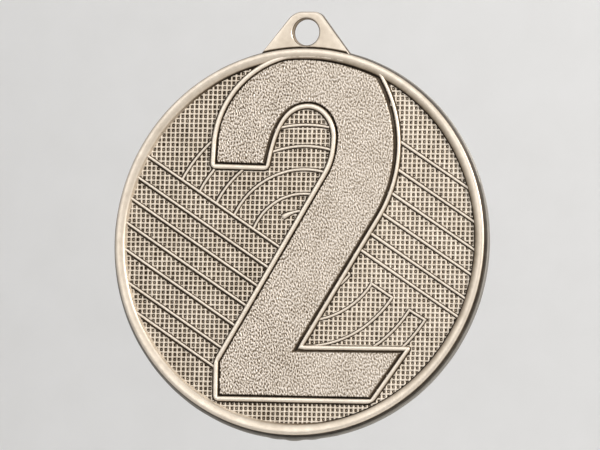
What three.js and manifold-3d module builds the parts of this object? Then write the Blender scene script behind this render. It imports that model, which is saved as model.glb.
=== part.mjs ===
// A round die-cast awards medal that hangs from a lug: a raised rim, a net-like sunken field, the
// ridges of a running track, and a large numeral 2 with a bead round it.
// Millimetres. +Z is up, the front faces -Y, and the origin is the centre of the hole in the lug.
// The relief is drawn in x and z from the centre of the disc, seen from the front.
import * as THREE from "three";
import { mergeVertices } from "three/addons/utils/BufferGeometryUtils.js";
import Module from "manifold-3d";

// ---- driving dimensions ----
const DISC_RADIUS = 25;
const HOLE_ABOVE_CENTRE = 27.05; // from the centre of the disc up to the hole in the lug
const RIM_INNER_RADIUS = 23.8;
const REVERSE_RIM_INNER_RADIUS = 23.4;
const REVERSE_RADIUS = 24.82; // the die's back half is a little smaller than its front half
const FIELD_RADIUS = 23.5;
const GAP = 0.3; // between relief features that stand side by side
const DISC_SEGMENTS = 96;

// Levels along y, from the front of the rim to the back of the reverse rim.
const RIM_FRONT = -1.1;
const BORDER_FRONT = -1.0;
const PANEL_FRONT = -0.75;
const LUG_FRONT = -0.7;
const FIELD_FRONT = -0.5;
const PLATE_FRONT = -0.3;
const PARTING_LINE = 0.2; // where the two halves of the die meet
const LUG_BACK = 0.7;
const PLATE_BACK = 0.9;
const REVERSE_RIM_BACK = 1.1;

// The lug: a flat-topped triangle with rounded shoulders.
const LUG_TOP = 2.65;
const LUG_TOP_HALF_WIDTH = 1.69;
const LUG_FOOT = -4.2;
const LUG_SIDE_SLOPE = 1.278; // rise over run of each side
const LUG_SHOULDER = 0.55; // how far the rounding reaches from each top corner
const LUG_HOLE_RADIUS = 1.8;
const LUG_HOLE_CHAMFER = 0.14;
const LUG_ROOT_RADIUS = 24; // the root of the lug reaches into the disc down to this radius
const HOLE_SEGMENTS = 40;

// The numeral, as the outer edge of its bead.
const BEAD_WIDTH = 0.65;
const LEFT_BOW = { centre: [0.33, 11.92], radius: 12.55 };
const RIGHT_BOW = { centre: [-4.51, 12.09], radius: 17.86 };
const CROWN_RADIUS = 24.3; // the top of the numeral follows the rim
const HOOK_LEFT = [-12.3, 9.3];
const HOOK_RIGHT = [-4.35, 9.12];
const BOWL_TOP = [0.7, 17.15];
const BOWL_RIGHT = [3.96, 13.5];
const BOWL_FOOT = [1.56, 6.5];
const KNEE = [-10.95, -15.52]; // where the diagonal meets the upright side of the foot
const FOOT_LEFT = [-10.85, -20.7];
const FOOT_RIGHT = [10.6, -20.75];
const FOOT_TIP = [15.78, -13.27];
const INNER_CORNER = [1.21, -13.325];
const RIGHT_EDGE_ANGLE = 59.4; // of the diagonal's right edge, in degrees above +x
const CROWN_FROM = 64.8; // on the disc, in degrees
const CROWN_TO = 95.4;
const RIGHT_BOW_TO = 33.7; // on its own circle, in degrees
const LEFT_BOW_FROM = 102;

// The ridges of the track.
const RIDGE_WIDTH = 0.36;
const RIDGE_HEIGHT = 0.2;
const RIDGE_ANGLE = -32.4; // of the straight ridges, in degrees
const RIDGE_RADIUS = 23.4; // where a straight ridge ends short of the rim
const RIDGE_GAP = 0.35; // from the end of a ridge to the bead or ridge in its way
const LEFT_OFFSETS = [-2, -5, -7.75, -10.7, -13.65, -17, -19.57]; // from the disc's centre
const RIGHT_OFFSETS = [18.05, 14.9, 11.95, 9.1, 6.15, 3.67];
const BEND_CENTRE = [0.5, -0.98]; // of the curved ridges at the upper left
const BEND_ARCS = [
  // radius, and the angle where the ridge ends at the numeral
  [7.15, 86.4],
  [10.3, 78.5],
  [13.2, 131.7],
  [15.95, 142],
  [18.8, 134.4],
];
const BOWL_ARCS = [
  // radius, from and to, across the bowl of the numeral
  [13.3, 107.5, 77],
  [16.05, 100.6, 80.6],
];
const SHORT_ARC = [4.95, 125, 101]; // a short ridge with a rounded end beside the diagonal
const LANE_CENTRE = [1.02, 0.49]; // of the lanes at the lower right
const LANES = [
  // inner radius, outer radius, their angles at the numeral, and their angles at the end bar
  [10.65, 13.95, -75.2, -71.8, -32.8, -32.6],
  [16.8, 19.25, -52, -43.4, -32.8, -32.4],
];

const CAST_METAL = { color: 0xcbbda8, roughness: 0.42, metalness: 0.9 };
const DARK_CAST_METAL = { color: 0x8f826f, roughness: 0.55, metalness: 0.85 };

// ---- helpers ----
const wasm = await Module();
wasm.setup();

const radians = THREE.MathUtils.degToRad;

const onCircle = ([x, z], radius, degrees) => [
  x + radius * Math.cos(radians(degrees)),
  z + radius * Math.sin(radians(degrees)),
];

function solidOf(geometry) {
  const bare = geometry.clone();
  bare.deleteAttribute("normal");
  bare.deleteAttribute("uv");
  const merged = mergeVertices(bare, 1e-5);
  return new wasm.Manifold(
    new wasm.Mesh({
      numProp: 3,
      vertProperties: merged.attributes.position.array,
      triVerts: new Uint32Array(merged.index.array),
    }),
  );
}

function geometryOf(solid) {
  const made = solid.getMesh();
  const geometry = new THREE.BufferGeometry();
  geometry.setAttribute("position", new THREE.BufferAttribute(made.vertProperties, 3));
  geometry.setIndex(new THREE.BufferAttribute(made.triVerts, 1));
  geometry.computeVertexNormals();
  return geometry;
}

// A flat outline in x and z, as a plate from y = front to y = back.
function plate(shape, front, back, curveSegments = 24) {
  const geometry = new THREE.ExtrudeGeometry(shape, {
    depth: back - front,
    bevelEnabled: false,
    curveSegments,
  });
  return geometry.rotateX(Math.PI / 2).translate(0, back, 0);
}

// A body turned about the y axis. The profile is in (radius, y) and runs front to back outside.
const turned = (profile, segments = DISC_SEGMENTS) =>
  new THREE.LatheGeometry(
    profile.map(([radius, y]) => new THREE.Vector2(radius, y)),
    segments,
  );

const roundBar = (radius, front, back, segments) =>
  new THREE.CylinderGeometry(radius, radius, back - front, segments).translate(
    0,
    (front + back) / 2,
    0,
  );

function add(parent, name, geometry, look) {
  const mesh = new THREE.Mesh(geometry, new THREE.MeshStandardMaterial(look));
  mesh.name = name;
  parent.add(mesh);
}

// ---- disc and rims ----
const discPlateProfile = [
  [0, PLATE_FRONT],
  [DISC_RADIUS, PLATE_FRONT],
  [DISC_RADIUS, PARTING_LINE - 0.1],
  [REVERSE_RADIUS, PARTING_LINE],
  [REVERSE_RADIUS, PLATE_BACK],
  [0, PLATE_BACK],
];

// A bead of half-round section between two radii, standing on y = base and reaching y = top.
function roundedRingProfile(inner, outer, base, top, side) {
  const middle = (inner + outer) / 2;
  const half = (outer - inner) / 2;
  const steps = 8;
  const points = [[inner, base]];
  for (let i = 0; i <= steps; i++) {
    const angle = Math.PI * (1 - i / steps);
    const flat = Math.sign(Math.cos(angle)) * Math.abs(Math.cos(angle)) ** 0.6;
    points.push([middle + half * flat, side + (top - side) * Math.sin(angle) ** 0.6]);
  }
  points.push([outer, base], [inner, base]);
  return points;
}

const rimProfile = roundedRingProfile(RIM_INNER_RADIUS, DISC_RADIUS, PLATE_FRONT, RIM_FRONT, -0.7);

const reverseRimProfile = [
  [REVERSE_RIM_INNER_RADIUS, PLATE_BACK],
  [REVERSE_RADIUS, PLATE_BACK],
  [REVERSE_RADIUS, REVERSE_RIM_BACK - 0.1],
  [REVERSE_RADIUS - 0.15, REVERSE_RIM_BACK],
  [REVERSE_RIM_INNER_RADIUS + 0.12, REVERSE_RIM_BACK],
  [REVERSE_RIM_INNER_RADIUS, PLATE_BACK],
];

// ---- lug ----
// The lug's outline from the centre of its hole, grown on every side by the same width.
function lugShape(growth) {
  const top = LUG_TOP + growth;
  const slant = Math.hypot(1, LUG_SIDE_SLOPE);
  const corner = LUG_TOP_HALF_WIDTH + (growth * (slant - 1)) / LUG_SIDE_SLOPE;
  const alongX = LUG_SHOULDER / slant;
  const alongZ = alongX * LUG_SIDE_SLOPE;
  const footX = corner + (top - LUG_FOOT) / LUG_SIDE_SLOPE;
  const shape = new THREE.Shape();
  shape.moveTo(-footX, LUG_FOOT);
  shape.lineTo(footX, LUG_FOOT);
  shape.lineTo(corner + alongX, top - alongZ);
  shape.quadraticCurveTo(corner, top, corner - LUG_SHOULDER, top);
  shape.lineTo(LUG_SHOULDER - corner, top);
  shape.quadraticCurveTo(-corner, top, -corner - alongX, top - alongZ);
  shape.closePath();
  return shape;
}

// The hole, wider by a chamfer at both faces.
function lugHole() {
  const wide = LUG_HOLE_RADIUS + LUG_HOLE_CHAMFER;
  const profile = [
    [0, LUG_FRONT - 0.1],
    [wide + 0.1, LUG_FRONT - 0.1],
    [LUG_HOLE_RADIUS, LUG_FRONT + LUG_HOLE_CHAMFER],
    [LUG_HOLE_RADIUS, LUG_BACK - LUG_HOLE_CHAMFER],
    [wide + 0.1, LUG_BACK + 0.1],
    [0, LUG_BACK + 0.1],
  ];
  return turned(profile, HOLE_SEGMENTS);
}

function hangingLug() {
  const blank = solidOf(plate(lugShape(0), LUG_FRONT, LUG_BACK, 8));
  const disc = (radius, front, back) =>
    solidOf(
      roundBar(radius, front, back, DISC_SEGMENTS).translate(0, 0, -HOLE_ABOVE_CENTRE),
    );
  return blank
    .subtract(solidOf(lugHole()))
    .subtract(disc(DISC_RADIUS + GAP, LUG_FRONT - 0.1, PLATE_FRONT))
    .subtract(disc(LUG_ROOT_RADIUS, LUG_FRONT - 0.1, LUG_BACK + 0.1));
}

// The base of the casting, with the pocket that the root of the lug fills.
function discPlate() {
  const pocket = solidOf(
    plate(lugShape(GAP), PLATE_FRONT - 0.1, PLATE_BACK + 0.1, 8).translate(
      0,
      0,
      HOLE_ABOVE_CENTRE,
    ),
  ).subtract(
    solidOf(roundBar(LUG_ROOT_RADIUS - GAP, PLATE_FRONT - 0.2, PLATE_BACK + 0.2, DISC_SEGMENTS)),
  );
  return solidOf(turned(discPlateProfile)).subtract(pocket);
}

// ---- numeral ----
function numeralShape() {
  const shape = new THREE.Shape();
  shape.moveTo(...HOOK_LEFT);
  shape.lineTo(...HOOK_RIGHT);
  shape.bezierCurveTo(-3.75, 12.4, -3, 17.15, ...BOWL_TOP);
  shape.bezierCurveTo(2.9, 17.15, 3.96, 14.86, ...BOWL_RIGHT);
  shape.bezierCurveTo(3.96, 10.18, 3.23, 9.44, ...BOWL_FOOT);
  shape.lineTo(...KNEE);
  shape.lineTo(...FOOT_LEFT);
  shape.lineTo(...FOOT_RIGHT);
  shape.lineTo(...FOOT_TIP);
  shape.lineTo(...INNER_CORNER);
  shape.absarc(
    ...RIGHT_BOW.centre,
    RIGHT_BOW.radius,
    radians(RIGHT_EDGE_ANGLE - 90),
    radians(RIGHT_BOW_TO),
    false,
  );
  shape.absarc(0, 0, CROWN_RADIUS, radians(CROWN_FROM), radians(CROWN_TO), false);
  shape.absarc(...LEFT_BOW.centre, LEFT_BOW.radius, radians(LEFT_BOW_FROM), Math.PI, false);
  shape.closePath();
  return shape;
}

// The points of an outline, without doubles, going round it once.
function outlinePoints(shape, divisions) {
  const points = shape.getPoints(divisions);
  return points.filter((p, i) => p.distanceTo(points[(i + 1) % points.length]) > 0.15);
}

// A closed outline moved inwards by a width, its corners kept sharp.
function inset(points, width) {
  return points.map((point, i) => {
    const before = points[(i + points.length - 1) % points.length];
    const after = points[(i + 1) % points.length];
    const incoming = point.clone().sub(before).normalize();
    const outgoing = after.clone().sub(point).normalize();
    const inwards = new THREE.Vector2(-incoming.y - outgoing.y, incoming.x + outgoing.x);
    const stretch = width / (1 + incoming.dot(outgoing));
    return point.clone().addScaledVector(inwards, stretch);
  });
}

const numeralOutline = outlinePoints(numeralShape(), 12);
const insideRim = solidOf(roundBar(FIELD_RADIUS, RIM_FRONT, PLATE_BACK, DISC_SEGMENTS));

function numeralBorder() {
  const ring = new THREE.Shape(numeralOutline);
  ring.holes.push(new THREE.Path(inset(numeralOutline, BEAD_WIDTH)));
  return solidOf(plate(ring, BORDER_FRONT, FIELD_FRONT)).intersect(insideRim);
}

function numeralPanel() {
  const panel = new THREE.Shape(inset(numeralOutline, BEAD_WIDTH + GAP));
  return solidOf(plate(panel, PANEL_FRONT, FIELD_FRONT)).intersect(insideRim);
}

// ---- track ridges ----
// The section of a ridge: its height, and its place across the ridge.
const ridgeSection = new THREE.Shape(
  [
    [0, -0.5],
    [0.55, -0.44],
    [1, -0.2],
    [1, 0.2],
    [0.55, 0.44],
    [0, 0.5],
  ].map(([height, across]) => new THREE.Vector2(height * RIDGE_HEIGHT, across * RIDGE_WIDTH)),
);

class ArcOnField extends THREE.Curve {
  constructor(centre, radius, from, to) {
    super();
    Object.assign(this, { centre, radius, from, to });
  }
  getPoint(t) {
    const angle = THREE.MathUtils.lerp(this.from, this.to, t);
    const [x, z] = onCircle(this.centre, this.radius, angle);
    return new THREE.Vector3(x, FIELD_FRONT, z);
  }
}

const DEGREES_PER_STEP = 5;

function straightRidge([fromX, fromZ], [toX, toZ]) {
  const extrudePath = new THREE.LineCurve3(
    new THREE.Vector3(fromX, FIELD_FRONT, fromZ),
    new THREE.Vector3(toX, FIELD_FRONT, toZ),
  );
  return new THREE.ExtrudeGeometry(ridgeSection, { steps: 1, extrudePath });
}

function arcRidge(centre, radius, from, to) {
  const steps = Math.ceil(Math.abs(to - from) / DEGREES_PER_STEP);
  const extrudePath = new ArcOnField(centre, radius, from, to);
  return new THREE.ExtrudeGeometry(ridgeSection, { steps, extrudePath });
}

const ridgeAlong = new THREE.Vector2(
  Math.cos(radians(RIDGE_ANGLE)),
  Math.sin(radians(RIDGE_ANGLE)),
);
const ridgeAcross = new THREE.Vector2(-ridgeAlong.y, ridgeAlong.x);

// A point on the straight ridge at an offset across the disc, t along it.
function onRidge(offset, t) {
  const point = ridgeAcross.clone().multiplyScalar(offset).addScaledVector(ridgeAlong, t);
  return [point.x, point.y];
}

// How far along the ridge it meets the straight line through a point.
function meetLine(offset, [x, z], degrees) {
  const across = new THREE.Vector2(Math.sin(radians(degrees)), -Math.cos(radians(degrees)));
  const start = ridgeAcross.clone().multiplyScalar(offset);
  return (across.x * x + across.y * z - across.dot(start)) / across.dot(ridgeAlong);
}

// How far along the ridge it leaves a circle.
function meetCircle(offset, [x, z], radius) {
  const centre = new THREE.Vector2(x, z);
  const fromAxis = centre.dot(ridgeAcross) - offset;
  return centre.dot(ridgeAlong) + Math.sqrt(radius ** 2 - fromAxis ** 2);
}

const kneeToBowl = THREE.MathUtils.radToDeg(
  Math.atan2(BOWL_FOOT[1] - KNEE[1], BOWL_FOOT[0] - KNEE[0]),
);

function leftRidge(offset) {
  const atRim = -Math.sqrt(RIDGE_RADIUS ** 2 - offset ** 2);
  const atDiagonal = meetLine(offset, KNEE, kneeToBowl);
  const belowKnee = onRidge(offset, atDiagonal)[1] < KNEE[1];
  const end = belowKnee ? meetLine(offset, KNEE, 90) : atDiagonal;
  return straightRidge(onRidge(offset, atRim), onRidge(offset, end - RIDGE_GAP));
}

function rightRidge(offset) {
  const atRim = Math.sqrt(RIDGE_RADIUS ** 2 - offset ** 2);
  const atBow = meetCircle(offset, RIGHT_BOW.centre, RIGHT_BOW.radius);
  const tangentPoint = onCircle(RIGHT_BOW.centre, RIGHT_BOW.radius, RIGHT_EDGE_ANGLE - 90);
  const onBow = onRidge(offset, atBow)[1] > tangentPoint[1];
  const start = onBow ? atBow : meetLine(offset, INNER_CORNER, RIGHT_EDGE_ANGLE);
  return straightRidge(onRidge(offset, start + RIDGE_GAP + 0.1), onRidge(offset, atRim));
}

// A curved ridge from the first left ridge, clockwise to the numeral.
function bendRidge(radius, to) {
  const belowCentre =
    BEND_CENTRE[0] * ridgeAcross.x + BEND_CENTRE[1] * ridgeAcross.y - LEFT_OFFSETS[0];
  const clearance = belowCentre - RIDGE_WIDTH / 2 - RIDGE_GAP;
  const lift = THREE.MathUtils.radToDeg(Math.asin(clearance / radius));
  return arcRidge(BEND_CENTRE, radius, 180 + RIDGE_ANGLE + lift, to);
}

// Two arcs and the bar that closes their upper ends, as one body.
function lane([inner, outer, innerFrom, outerFrom, innerTo, outerTo]) {
  const innerArc = solidOf(arcRidge(LANE_CENTRE, inner, innerFrom, innerTo));
  const outerArc = solidOf(arcRidge(LANE_CENTRE, outer, outerFrom, outerTo));
  const halfWidth = RIDGE_WIDTH / 2;
  const bar = solidOf(
    straightRidge(
      onCircle(LANE_CENTRE, inner - halfWidth, innerTo),
      onCircle(LANE_CENTRE, outer + halfWidth, outerTo),
    ),
  );
  return innerArc.add(bar).add(outerArc);
}

// ---- the medal ----
const medal = new THREE.Group();
const disc = new THREE.Group();
disc.position.z = -HOLE_ABOVE_CENTRE;
medal.add(disc);

add(medal, "hanging_lug", geometryOf(hangingLug()), CAST_METAL);
add(disc, "disc_plate", geometryOf(discPlate()), CAST_METAL);
add(disc, "rim_ring", turned(rimProfile), CAST_METAL);
add(disc, "reverse_rim", turned(reverseRimProfile), CAST_METAL);
add(
  disc,
  "field_plate",
  roundBar(FIELD_RADIUS, FIELD_FRONT, PLATE_FRONT, DISC_SEGMENTS),
  DARK_CAST_METAL,
);
add(disc, "numeral_border", geometryOf(numeralBorder()), CAST_METAL);
add(disc, "numeral_panel", geometryOf(numeralPanel()), CAST_METAL);

LEFT_OFFSETS.forEach((offset, i) => {
  add(disc, `left_ridge_${i + 1}`, leftRidge(offset), CAST_METAL);
});
RIGHT_OFFSETS.forEach((offset, i) => {
  add(disc, `right_ridge_${i + 1}`, rightRidge(offset), CAST_METAL);
});
BEND_ARCS.forEach(([radius, to], i) => {
  add(disc, `bend_ridge_${i + 1}`, bendRidge(radius, to), CAST_METAL);
});
BOWL_ARCS.forEach(([radius, from, to], i) => {
  add(disc, `bowl_ridge_${i + 1}`, arcRidge(BEND_CENTRE, radius, from, to), CAST_METAL);
});
add(disc, "short_ridge", arcRidge(BEND_CENTRE, ...SHORT_ARC), CAST_METAL);
LANES.forEach((sizes, i) => {
  add(disc, `lane_${i + 1}`, geometryOf(lane(sizes)), CAST_METAL);
});

export default medal;
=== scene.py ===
import math

import bmesh
import bpy
import numpy as np
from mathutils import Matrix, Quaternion, Vector
from mathutils.kdtree import KDTree


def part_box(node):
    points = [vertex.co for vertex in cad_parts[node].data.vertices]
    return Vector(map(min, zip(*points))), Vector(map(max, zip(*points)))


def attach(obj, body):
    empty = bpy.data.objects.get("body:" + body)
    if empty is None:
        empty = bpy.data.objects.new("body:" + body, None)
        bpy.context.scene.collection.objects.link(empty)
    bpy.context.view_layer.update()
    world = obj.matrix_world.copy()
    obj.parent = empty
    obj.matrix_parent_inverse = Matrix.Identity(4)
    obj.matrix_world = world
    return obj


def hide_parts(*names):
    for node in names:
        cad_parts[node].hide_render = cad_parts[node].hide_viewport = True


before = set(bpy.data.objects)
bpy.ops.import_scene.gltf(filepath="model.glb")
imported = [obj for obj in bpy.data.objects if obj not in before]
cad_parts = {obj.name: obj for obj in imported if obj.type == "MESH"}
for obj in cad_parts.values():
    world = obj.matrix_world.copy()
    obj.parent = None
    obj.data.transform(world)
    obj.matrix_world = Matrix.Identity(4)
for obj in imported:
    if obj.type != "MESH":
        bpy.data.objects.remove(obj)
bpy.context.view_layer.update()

MM = 0.001


# ---- sizes from the frame ----
def box_mm(node):
    low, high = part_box(node)
    return np.array(low) / MM, np.array(high) / MM


RIM_LOW, RIM_HIGH = box_mm("rim_ring")
DISC_RADIUS = (RIM_HIGH[0] - RIM_LOW[0]) / 2
DISC_CENTRE_Z = (RIM_HIGH[2] + RIM_LOW[2]) / 2
RIM_FRONT = RIM_LOW[1]
BEAD_FRONT = box_mm("numeral_border")[0][1]
PANEL_FRONT = box_mm("numeral_panel")[0][1]
NET_FRONT = box_mm("field_plate")[0][1]
RIDGE_FRONT = box_mm("left_ridge_1")[0][1]
LUG_FRONT = box_mm("hanging_lug")[0][1]
LUG_BACK = box_mm("hanging_lug")[1][1]
LUG_TOP = box_mm("hanging_lug")[1][2]
PLATE_BACK = box_mm("disc_plate")[1][1]
REVERSE_BACK = box_mm("reverse_rim")[1][1]

# ---- sizes of the relief ----
BURIED = -0.12  # the level where the front relief stands on the casting, out of sight
RIM_FOOT_RADIUS = 23.5
PARTING_LINE = 0.2  # where the two halves of the die met
REVERSE_PROUD = 0.3  # how far the back half of the wall stands past the front half
DIE_SHIFT = (-0.1, -0.15)  # how far out of line the back half of the die sat, in x and z
STEP = 0.15  # between the points of a swept outline
CURVE_STEPS = 46  # along each curve of the numeral's bowl
FINE_STEP = 0.05  # between the points that distances from an outline are measured to
WELD = 0.002  # points closer than this are made one
RING_STEPS = 720  # round a turned piece and round the lug's hole

BEAD_WIDTH = 0.65
GROOVE_WIDTH = 0.3  # between the bead and the panel
GROOVE_SLOPE = 0.13  # the width of the groove's side towards the panel
GROOVE_FLOOR = -0.42
# Painted shadow: the groove's dark patina fills this extra width on the bead's shaded side.
GROOVE_SHADED = 0.2  # how much wider the groove is where the bead's inner side was shaded
HOOK_LEFT = (-12.3, 9.3)
HOOK_RIGHT = (-4.35, 9.12)
BOWL_TOP = (0.7, 17.15)
BOWL_RIGHT = (3.96, 13.5)
BOWL_FOOT = (1.56, 6.5)
KNEE = (-10.95, -15.52)
FOOT_LEFT = (-10.85, -20.7)
FOOT_RIGHT = (10.6, -20.75)
FOOT_TIP = (15.78, -13.27)
INNER_CORNER = (1.21, -13.325)
LEFT_BOW = ((0.33, 11.92), 12.55)
RIGHT_BOW = ((-4.51, 12.09), 17.86)
CROWN_RADIUS = 24.3
CORNER_ROUNDING = 0.85  # of the bead's outer edge, measured along each side of a corner
CORNER_REACH = 8  # points on each side of a corner that its rounding may move
SHARPEST_BEND = math.radians(20)  # a bigger turn of the outline between two points is a corner

GRAIN_CELL = 0.075  # between the points of the numeral's pebbled face
GRAIN_HEIGHT = 0.055
GRAIN_TINT = (0.23, 0.38)  # the patina half way up the grain, and how much it falls to the tops
PANEL_OVERLAP = 0.25  # how far the panel runs on under the bead

NET_PITCH = 0.6173
NET_ORIGIN = (-0.02, -0.27)  # a crossing of the net's bars
NET_OPENING = 0.205  # half the width of an opening at its top
NET_FLOOR_HALF = 0.165  # and at its floor
NET_DEPTH = 0.3
NET_OVERLAP = 0.35  # how far under the rim or the bead the middle of an opening may lie
LIP_DROP = 0.03  # from the bars to the edge of an opening
CORNER_PULL = 0.86  # how round an opening's corners are drawn, with 1 for sharp ones
STUD_HEIGHT = 0.15
CROSSING_RISE = 0.02  # of the net where its bars cross
BAR_WOBBLE = 0.008  # the spread of the places along the bars
OPENING_WOBBLE = 0.012  # and of the openings' places and sizes

BEND_CENTRE = (0.5, -0.98)  # of the curved ridges at the upper left and in the bowl
LANE_CENTRE = (1.02, 0.49)  # of the lanes at the lower right
LANES = {
    # inner and outer radius, their angles where they meet the bead, and their angles at the end bar
    "lane_1": (10.65, 13.95, -75.2, -86, -32.8, -32.6),
    "lane_2": (16.8, 19.25, -53, -44.2, -32.8, -32.4),
}
SLIVER = (7.56, -58.4, -37.7)  # radius and ends of the shortest lane, which is a single line
SLIVER_TICK = 0.4  # the length of the bar that closes it
RIDGE_RUN_ON = 0.5  # how far a ridge runs on under the bead or rim at its end
RIDGE_ROOT = -1.9  # the level where a ridge ends inside the casting, as a share of its height
MARGIN_RISE = 0.12  # the level of the dark margins beside a ridge, as a share of its height

# Painted light and shade: the dark finish is drawn wider, as painted shadow, on the sides that face away from
# the light's direction, and the grooves that face a second direction are painted lighter and drawn narrower,
# as painted light.
LIGHT_DIRECTION = np.array([math.cos(math.radians(20)), math.sin(math.radians(20))])
LIT_GROOVE_DIRECTION = np.array([math.cos(math.radians(-50)), math.sin(math.radians(-50))])

LUG_SHOULDER_HALF = 1.69
LUG_SIDE_SLOPE = 1.278
LUG_SHOULDER_ROUNDINGS = (0.8, 1.25)  # right and left, measured along each side of a corner
LUG_SIDE_RUN = 6.3  # in x, far enough to end inside the disc
LUG_ROOT_RADIUS = 24.4
HOLE_RADIUS = 1.93  # at the faces
HOLE_WAIST = 1.66  # at mid depth, where the two halves of the die met
FACE_RINGS = 26  # across each face of the lug


# ---- mesh building ----
def grid_faces(rows, columns, close_rows=True):
    """The quads of a grid of points, row by row. Each row is closed, and the last row may meet the first."""
    r = np.arange(rows if close_rows else rows - 1)[:, None]
    c = np.arange(columns)[None, :]
    next_r, next_c = (r + 1) % rows, (c + 1) % columns
    corners = [r * columns + c, r * columns + next_c, next_r * columns + next_c, next_r * columns + c]
    return np.stack([np.broadcast_to(k, (len(r), c.shape[1])) for k in corners], -1).reshape(-1, 4)


def build(name, points, faces, patina, material, nodes, slot="cast_metal", sharp=50):
    """One closed piece from points in millimetres, with how dark its patina and painted shade are at each
    point.
    """
    mesh = bpy.data.meshes.new(name)
    placed = (np.asarray(points, float) + (0, 0, DISC_CENTRE_Z)) * MM
    mesh.from_pydata(placed.tolist(), [], [list(map(int, face)) for face in faces])
    layer = mesh.attributes.new("patina", "FLOAT", "POINT")
    layer.data.foreach_set("value", np.asarray(patina, np.float32).ravel())
    work = bmesh.new()
    work.from_mesh(mesh)
    bmesh.ops.remove_doubles(work, verts=work.verts, dist=WELD * MM)
    bmesh.ops.recalc_face_normals(work, faces=work.faces)
    work.to_mesh(mesh)
    work.free()
    mesh.polygons.foreach_set("use_smooth", np.ones(len(mesh.polygons), bool))
    mesh.set_sharp_from_angle(angle=math.radians(sharp))
    piece = bpy.data.objects.new(name, mesh)
    bpy.context.scene.collection.objects.link(piece)
    mesh.materials.append(material)
    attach(piece, "root")
    if nodes:
        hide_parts(*nodes)


def smooth_step(value, low, high):
    t = np.clip((value - low) / (high - low), 0, 1)
    return t * t * (3 - 2 * t)


def waves(angle, size, seed):
    """A gentle seeded waviness round a circle, summed from a few whole numbers of waves."""
    rng = np.random.default_rng(seed)
    total = np.zeros_like(angle)
    for count in (3, 7, 13, 24, 41):
        total += np.sin(count * angle + rng.uniform(0, 2 * math.pi)) * rng.uniform(0.4, 1)
    return size * total / 2


# ---- materials ----
def add_node(tree, kind, **inputs):
    made = tree.nodes.new(kind)
    for name, value in inputs.items():
        made.inputs[name.replace("_", " ")].default_value = value
    return made


def noise(tree, place, size, detail=3.0):
    """Noise whose blobs are about size millimetres across."""
    made = add_node(tree, "ShaderNodeTexNoise", Scale=1 / (size * MM), Detail=detail, Roughness=0.55)
    tree.links.new(place, made.inputs["Vector"])
    return made.outputs["Fac"]


def arithmetic(tree, operation, first, second):
    made = tree.nodes.new("ShaderNodeMath")
    made.operation = operation
    for socket, value in zip(made.inputs, (first, second)):
        if isinstance(value, (int, float)):
            socket.default_value = value
        else:
            tree.links.new(value, socket)
    return made.outputs[0]


def spread(tree, value, low, high):
    """A value from 0 to 1 spread from low to high."""
    made = add_node(tree, "ShaderNodeMapRange", To_Min=low, To_Max=high)
    tree.links.new(value, made.inputs["Value"])
    return made.outputs["Result"]


def antiqued_metal(name, tones, shine, mottle, grain_size, grain_depth):
    """Cast metal, polished bright on top and dark brown in its hollows; the same patina attribute also
    carries painted shade and painted light. Tones are (patina, colour) pairs, shine is the roughness where
    the metal is bright and where it is dark, mottle is how uneven the patina is, and grain_size and
    grain_depth are the cast skin's in millimetres."""
    material = bpy.data.materials.new(name)
    material.use_nodes = True
    tree = material.node_tree
    shader = tree.nodes["Principled BSDF"]
    place = tree.nodes.new("ShaderNodeTexCoord").outputs["Object"]
    patina_and_shade_source = tree.nodes.new("ShaderNodeAttribute")
    patina_and_shade_source.attribute_name = "patina"
    uneven = arithmetic(tree, "SUBTRACT", noise(tree, place, 0.9), 0.5)
    blotch = arithmetic(tree, "SUBTRACT", noise(tree, place, 5.0, 2.0), 0.5)
    amount = arithmetic(tree, "ADD", patina_and_shade_source.outputs["Fac"], arithmetic(tree, "MULTIPLY", uneven, mottle))
    amount = arithmetic(tree, "ADD", amount, arithmetic(tree, "MULTIPLY", blotch, mottle * 0.8))
    amount = spread(tree, amount, 0.0, 1.0)
    ramp = tree.nodes.new("ShaderNodeValToRGB")
    ramp.color_ramp.elements.remove(ramp.color_ramp.elements[1])
    ramp.color_ramp.elements[0].color = (*tones[0][1], 1)
    for position, colour in tones[1:]:
        ramp.color_ramp.elements.new(position).color = (*colour, 1)
    tree.links.new(amount, ramp.inputs["Fac"])
    tree.links.new(ramp.outputs["Color"], shader.inputs["Base Color"])
    tree.links.new(spread(tree, amount, 0.6, 0.2), shader.inputs["Metallic"])
    fine = noise(tree, place, grain_size, 4.0)
    rough = arithmetic(tree, "ADD", spread(tree, amount, *shine), spread(tree, fine, -0.06, 0.06))
    tree.links.new(rough, shader.inputs["Roughness"])
    shader.inputs["Specular IOR Level"].default_value = 0.3
    bump = add_node(tree, "ShaderNodeBump", Strength=0.7, Distance=grain_depth * MM)
    tree.links.new(fine, bump.inputs["Height"])
    tree.links.new(bump.outputs["Normal"], shader.inputs["Normal"])
    return material


METAL_TONES = (
    (0.0, (0.95, 0.845, 0.715)),
    (0.3, (0.60, 0.51, 0.40)),
    (0.65, (0.155, 0.11, 0.067)),
    (1.0, (0.02, 0.0125, 0.006)),
)
GRAIN_TONES = ((0.0, (0.95, 0.86, 0.765)), (0.3, (0.60, 0.52, 0.425)), *METAL_TONES[2:])
EDGE_TONES = (
    (0.0, (0.38, 0.355, 0.32)),
    (0.4, (0.24, 0.22, 0.19)),
    (1.0, (0.04, 0.031, 0.021)),
)


# ---- outlines ----
def line(start, end):
    """Points from start up to end, without end, about a step apart."""
    start, end = np.array(start, float), np.array(end, float)
    count = max(1, round(np.linalg.norm(end - start) / STEP))
    return start + (end - start) * np.linspace(0, 1, count, endpoint=False)[:, None]


def bezier(a, b, c, d):
    """Points along a cubic curve, without its end."""
    t = np.linspace(0, 1, CURVE_STEPS, endpoint=False)[:, None]
    a, b, c, d = (np.array(p, float) for p in (a, b, c, d))
    return (1 - t) ** 3 * a + 3 * t * (1 - t) ** 2 * b + 3 * t * t * (1 - t) * c + t**3 * d


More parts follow.
